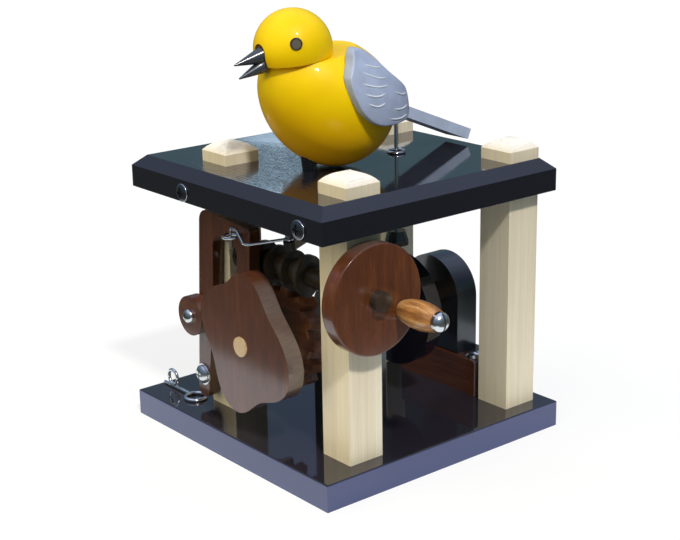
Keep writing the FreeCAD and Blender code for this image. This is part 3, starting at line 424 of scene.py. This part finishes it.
def dress(mesh, material):
    mesh.materials.clear()
    mesh.materials.append(material)


for finish, names in DRESSED.items():
    for node_name in names:
        dress(nodes[node_name].data, finish)


# ================= object helpers =================

def in_scene(name, data):
    """An object of the scene with this name and data."""
    made = bpy.data.objects.new(name, data)
    bpy.context.scene.collection.objects.link(made)
    return made


def made_plain(source, name):
    """Puts one plain object in the place of a source with modifiers."""
    graph = bpy.context.evaluated_depsgraph_get()
    mesh = bpy.data.meshes.new_from_object(source.evaluated_get(graph))
    bpy.data.objects.remove(source)
    mesh.name = name
    return in_scene(name, mesh)


def within(value):
    """The nearest share from 0 to 1."""
    return min(max(value, 0.0), 1.0)


# ================= beads along paths =================

def bead_tree():
    """Geometry nodes that lay a round bead along each edge path, full in the middle and fine at its ends."""
    tree = bpy.data.node_groups.new("bead_along_paths", "GeometryNodeTree")
    for label, kind in (("Paths", "Geometry"), ("Bead Radius", "Float"), ("End Share", "Float"),
                        ("Sides", "Int"), ("Finish", "Material")):
        tree.interface.new_socket(label, in_out="INPUT", socket_type="NodeSocket" + kind)
    tree.interface.new_socket("Beads", in_out="OUTPUT", socket_type="NodeSocketGeometry")
    parts = Nodes(tree)
    given = parts.node("NodeGroupInput").outputs
    path = parts.node("GeometryNodeMeshToCurve", {"Mesh": given["Paths"]})
    along = parts.node("GeometryNodeSplineParameter").outputs["Factor"]
    arch = parts.math("MULTIPLY", along, parts.math("SUBTRACT", 1.0, along))
    share = parts.remap(arch, 0.0, BEAD_FULL, given["End Share"], 1.0)
    size = parts.math("MULTIPLY", share, given["Bead Radius"])
    ring = parts.node("GeometryNodeCurvePrimitiveCircle", {"Radius": 1.0, "Resolution": given["Sides"]})
    bead = parts.node("GeometryNodeCurveToMesh", {"Curve": path.outputs["Curve"], "Scale": size,
                                                  "Profile Curve": ring.outputs["Curve"], "Fill Caps": True})
    real = parts.node("GeometryNodeRealizeInstances", {"Geometry": bead.outputs["Mesh"]})
    finish = parts.node("GeometryNodeSetMaterial", {"Geometry": real.outputs["Geometry"],
                                                    "Material": given["Finish"]})
    parts.node("NodeGroupOutput", {"Beads": finish.outputs["Geometry"]})
    return tree


BEADS = bead_tree()


def lay_beads(name, paths, radius, material, body, end_share=1.0, closed=False):
    """Lays beads along paths of points and makes them one plain piece that rides on a body."""
    points, edges = [], []
    for path in paths:
        first = len(points)
        points.extend(path)
        edges.extend((first + i, first + i + 1) for i in range(len(path) - 1))
        if closed:
            edges.append((first + len(path) - 1, first))
    mesh = bpy.data.meshes.new(name + "_paths")
    mesh.from_pydata(points, edges, [])
    source = in_scene(name + "_paths", mesh)
    modifier = source.modifiers.new("beads", "NODES")
    modifier.node_group = BEADS
    given = {"Bead Radius": radius, "End Share": end_share, "Sides": BEAD_SIDES, "Finish": material}
    for item in BEADS.interface.items_tree:
        if item.item_type == "SOCKET" and item.in_out == "INPUT" and item.name in given:
            modifier[item.identifier] = given[item.name]
    piece = made_plain(source, name)
    for polygon in piece.data.polygons:
        polygon.use_smooth = True
    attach(piece, body)


def rim(centre, radius, across, other):
    """A circle of points, in the plane of two directions."""
    turns = [turn * 2 * math.pi / RIM_STEPS for turn in range(RIM_STEPS)]
    return [centre + radius * (across * math.cos(turn) + other * math.sin(turn)) for turn in turns]


# ================= wings =================

def body_reach(y, z, low, high):
    """How far the rounded body and what lies on it reach sideways at a height and a place along it."""
    middle = (low + high) / 2
    half = (high - low) / 2
    rest = 1 - ((y - middle.y) / (half.y * WING_ROOM)) ** 2 - ((z - middle.z) / (half.z * WING_ROOM)) ** 2
    return half.x * math.sqrt(max(rest, WING_FLATTEST))


def eased_back(y, z, low, high):
    """Where a wing's point goes along the bird, so that the wing's front edge lies further back."""
    front = 1 - within((y - low.y) / WING_EASE_REACH)
    upper = within((z - high.z + WING_EASE_DROP) / WING_EASE_BLEND)
    rear = within((y - low.y) / (high.y - low.y))
    return y + front * (WING_EASE_LOW + (WING_EASE_HIGH - WING_EASE_LOW) * upper) + WING_EASE_BACK * rear ** 2


def carve_wing(name, side):
    """A wing with a soft edge all round, its front edge eased back over the body."""
    low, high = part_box(name)
    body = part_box("bird_body")
    shape = bmesh.new()
    shape.from_mesh(nodes[name].data)
    bmesh.ops.remove_doubles(shape, verts=shape.verts, dist=WING_MERGE)
    for vert in shape.verts:
        y, z = vert.co.y, vert.co.z
        vert.co.y = eased_back(y, z, low, high)
        vert.co.x += side * (body_reach(vert.co.y, z, *body) - body_reach(y, z, *body))
    mesh = bpy.data.meshes.new(name + "_rough")
    shape.to_mesh(mesh)
    shape.free()
    rough = in_scene(name + "_rough", mesh)
    grid = rough.modifiers.new("grid", "REMESH")
    grid.mode = "VOXEL"
    grid.voxel_size = WING_GRAIN
    grid.use_smooth_shade = True
    sand = rough.modifiers.new("sand", "SMOOTH")
    sand.factor = 0.5
    sand.iterations = WING_SANDING
    wing = made_plain(rough, name + "_carved")
    dress(wing.data, feather)
    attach(wing, STAND)
    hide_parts(name)
    return wing


def feather_paths(wing, side):
    """The feather edges of a wing, laid on its outer face."""
    mesh = wing.data
    surface = BVHTree.FromPolygons([v.co.copy() for v in mesh.vertices],
                                   [tuple(p.vertices) for p in mesh.polygons])
    paths = []
    for (y0, z0), (y1, z1), sag in FEATHER_LINES:
        path = []
        for step in range(FEATHER_STEPS + 1):
            share = step / FEATHER_STEPS
            y = y0 + (y1 - y0) * share
            z = z0 + (z1 - z0) * share + 4 * sag * share * (1 - share)
            start = Vector((side * FEATHER_START, y / 1000, z / 1000))
            hit, normal, _, _ = surface.ray_cast(start, Vector((-side, 0, 0)))
            if hit is not None and side * normal.x > FEATHER_FACING:
                path.append(hit - normal * FEATHER_SUNK)
        if len(path) >= FEATHER_FEWEST:
            paths.append(path)
    return paths


for wing_name, wing_side in (("right_wing", 1), ("left_wing", -1)):
    carved_wing = carve_wing(wing_name, wing_side)
    lay_beads(wing_name + "_feather_edges", feather_paths(carved_wing, wing_side), FEATHER_BEAD, feather_edge,
              STAND, end_share=FEATHER_END)


# ================= rims =================

def eye_rims():
    """A dark rim round each eye, on its outer face."""
    low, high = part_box("bird_head")
    radius = (high.x - low.x) / 2
    centre = Vector(((low.x + high.x) / 2, high.y - radius, high.z - radius))
    points = [v.co for v in nodes["bird_eyes"].data.vertices]
    rims = []
    for side in (1, -1):
        eye = [p for p in points if side * (p.x - centre.x) > 0]
        outward = (sum(eye, Vector()) / len(eye) - centre).normalized()
        face = max((p - centre).dot(outward) for p in eye)
        across = outward.orthogonal().normalized()
        rims.append(rim(centre + outward * face, EYE_RADIUS - EYE_RIM, across, outward.cross(across)))
    lay_beads("eye_rims", rims, EYE_RIM, eye_edge, HEAD, closed=True)


def screw_rim_highlights():
    """Painted highlights: bright zinc rings on the rims of the two dark screws in the top plate's front edge.
    """
    low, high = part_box("edge_screws")
    points = [v.co for v in nodes["edge_screws"].data.vertices]
    rims = []
    for side in (1, -1):
        head = [p for p in points
                if side * (p.x - (low.x + high.x) / 2) > 0 and p.y < low.y + SCREW_HEAD_DEPTH]
        left, right = min(p.x for p in head), max(p.x for p in head)
        centre = Vector(((left + right) / 2, 0, (min(p.z for p in head) + max(p.z for p in head)) / 2))
        reach = (right - left) / 2
        edge = [p.y for p in head if (Vector((p.x, 0, p.z)) - centre).length > reach - SCREW_RIM_WIDTH]
        centre.y = (min(edge) + max(edge)) / 2
        rims.append(rim(centre, reach - SCREW_RIM, Vector((1, 0, 0)), Vector((0, 0, 1))))
    # each ring is a painted highlight on a screw's rim
    lay_beads("edge_screw_rims", rims, SCREW_RIM, zinc, STAND, closed=True)


eye_rims()
screw_rim_highlights()


# ================= stage =================

def make_floor():
    """A level floor that the camera sees as white, with a pale sheet on dark ground where it is mirrored."""
    mesh = bpy.data.meshes.new("floor")
    half = FLOOR_SIZE / 2
    corners = [(-half, -half, 0), (half, -half, 0), (half, half, 0), (-half, half, 0)]
    mesh.from_pydata(corners, [], [(0, 1, 2, 3)])
    shader = Finish("floor_white")
    inside_x, inside_y = (shader.math("LESS_THAN", shader.math("ABSOLUTE", place), reach)
                          for place, reach in zip(shader.split(shader.place), SHEET_HALF))
    seen = shader.node("ShaderNodeLightPath").outputs["Is Camera Ray"]
    sheet = shader.math("MAXIMUM", shader.math("MULTIPLY", inside_x, inside_y), seen)
    under = shader.mix(seen, SHEET_COLOUR, FLOOR_SEEN)
    shader.set(Base_Color=shader.mix(sheet, GROUND_COLOUR, under), Roughness=0.9, Specular_IOR_Level=0.1)
    white = shader.node("ShaderNodeEmission")
    shader.blend(shader.math("MULTIPLY", seen, 1.0 - SHADOW_SHARE), shader.surface.outputs[0],
                 white.outputs[0], shader.output.inputs["Surface"])
    dress(mesh, shader.material)
    floor = in_scene("floor", mesh)


def make_world():
    """Sky over dark surroundings with one bright gap, white where the camera sees it."""
    world = bpy.data.worlds.new("studio")
    bpy.context.scene.world = world
    world.use_nodes = True
    sky = Nodes(world.node_tree)
    direction = sky.node("ShaderNodeTexCoord").outputs["Generated"]
    leaves = sky.noise(direction, scale=LEAF_SCALE, detail=4.0)
    height = sky.math("MULTIPLY_ADD", leaves, LEAF_WANDER, sky.split(direction)[2])
    layers = sky.ramp(sky.math("SUBTRACT", height, LEAF_WANDER / 2), SURROUNDINGS)
    toward = sky.node("ShaderNodeVectorMath", {0: direction, 1: GAP_FROM.normalized()},
                      operation="DOT_PRODUCT")
    lit = sky.mix(sky.remap(toward.outputs["Value"], *GAP_EDGES), layers, GAP_COLOUR)
    light_path = sky.node("ShaderNodeLightPath").outputs
    warmed = sky.mix(light_path["Is Diffuse Ray"], lit, SOFT_TINT, blend="MULTIPLY")
    around = world.node_tree.nodes["Background"]
    sky.feed(around.inputs["Color"], warmed)
    white = sky.node("ShaderNodeBackground", {"Color": (1, 1, 1)})
    sky.blend(light_path["Is Camera Ray"], around.outputs[0], white.outputs[0],
              world.node_tree.nodes["World Output"].inputs["Surface"])


def distant_light(name, source, strength, spread, colour, glints=True):
    """A light from one direction, as soft as its spread is wide, with or without its own reflections."""
    light = bpy.data.lights.new(name, "SUN")
    light.energy = strength
    light.angle = spread
    light.color = colour
    lamp = in_scene(name, light)
    lamp.rotation_mode = "QUATERNION"
    lamp.rotation_quaternion = source.to_track_quat("Z", "Y")
    lamp.visible_glossy = glints


def make_camera():
    """The camera, turned about its target and rolled a little."""
    azimuth, elevation = math.radians(CAMERA_AZIMUTH), math.radians(CAMERA_ELEVATION)
    roll = math.radians(CAMERA_ROLL)
    back = Vector((math.sin(azimuth) * math.cos(elevation), -math.cos(azimuth) * math.cos(elevation),
                   math.sin(elevation)))
    level = Vector((math.cos(azimuth), math.sin(azimuth), 0))
    upright = back.cross(level)
    right = level * math.cos(roll) + upright * math.sin(roll)
    up = upright * math.cos(roll) - level * math.sin(roll)
    data = bpy.data.cameras.new("camera")
    data.sensor_width = CAMERA_SENSOR
    data.lens = CAMERA_FOCAL_PIXELS / IMAGE_WIDTH * CAMERA_SENSOR
    data.clip_start = 0.01
    data.clip_end = 50.0
    camera = in_scene("camera", data)
    place = CAMERA_TARGET + back * CAMERA_DISTANCE
    camera.matrix_world = Matrix.Translation(place) @ Matrix((right, up, back)).transposed().to_4x4()
    bpy.context.scene.camera = camera


make_floor()
make_world()
distant_light("key", SUN_FROM, SUN_STRENGTH, SUN_SPREAD, SUN_COLOUR)
distant_light("fill", FILL_FROM, FILL_STRENGTH, FILL_SPREAD, FILL_COLOUR, glints=False)
make_camera()
bpy.context.scene.view_settings.view_transform = "Standard"
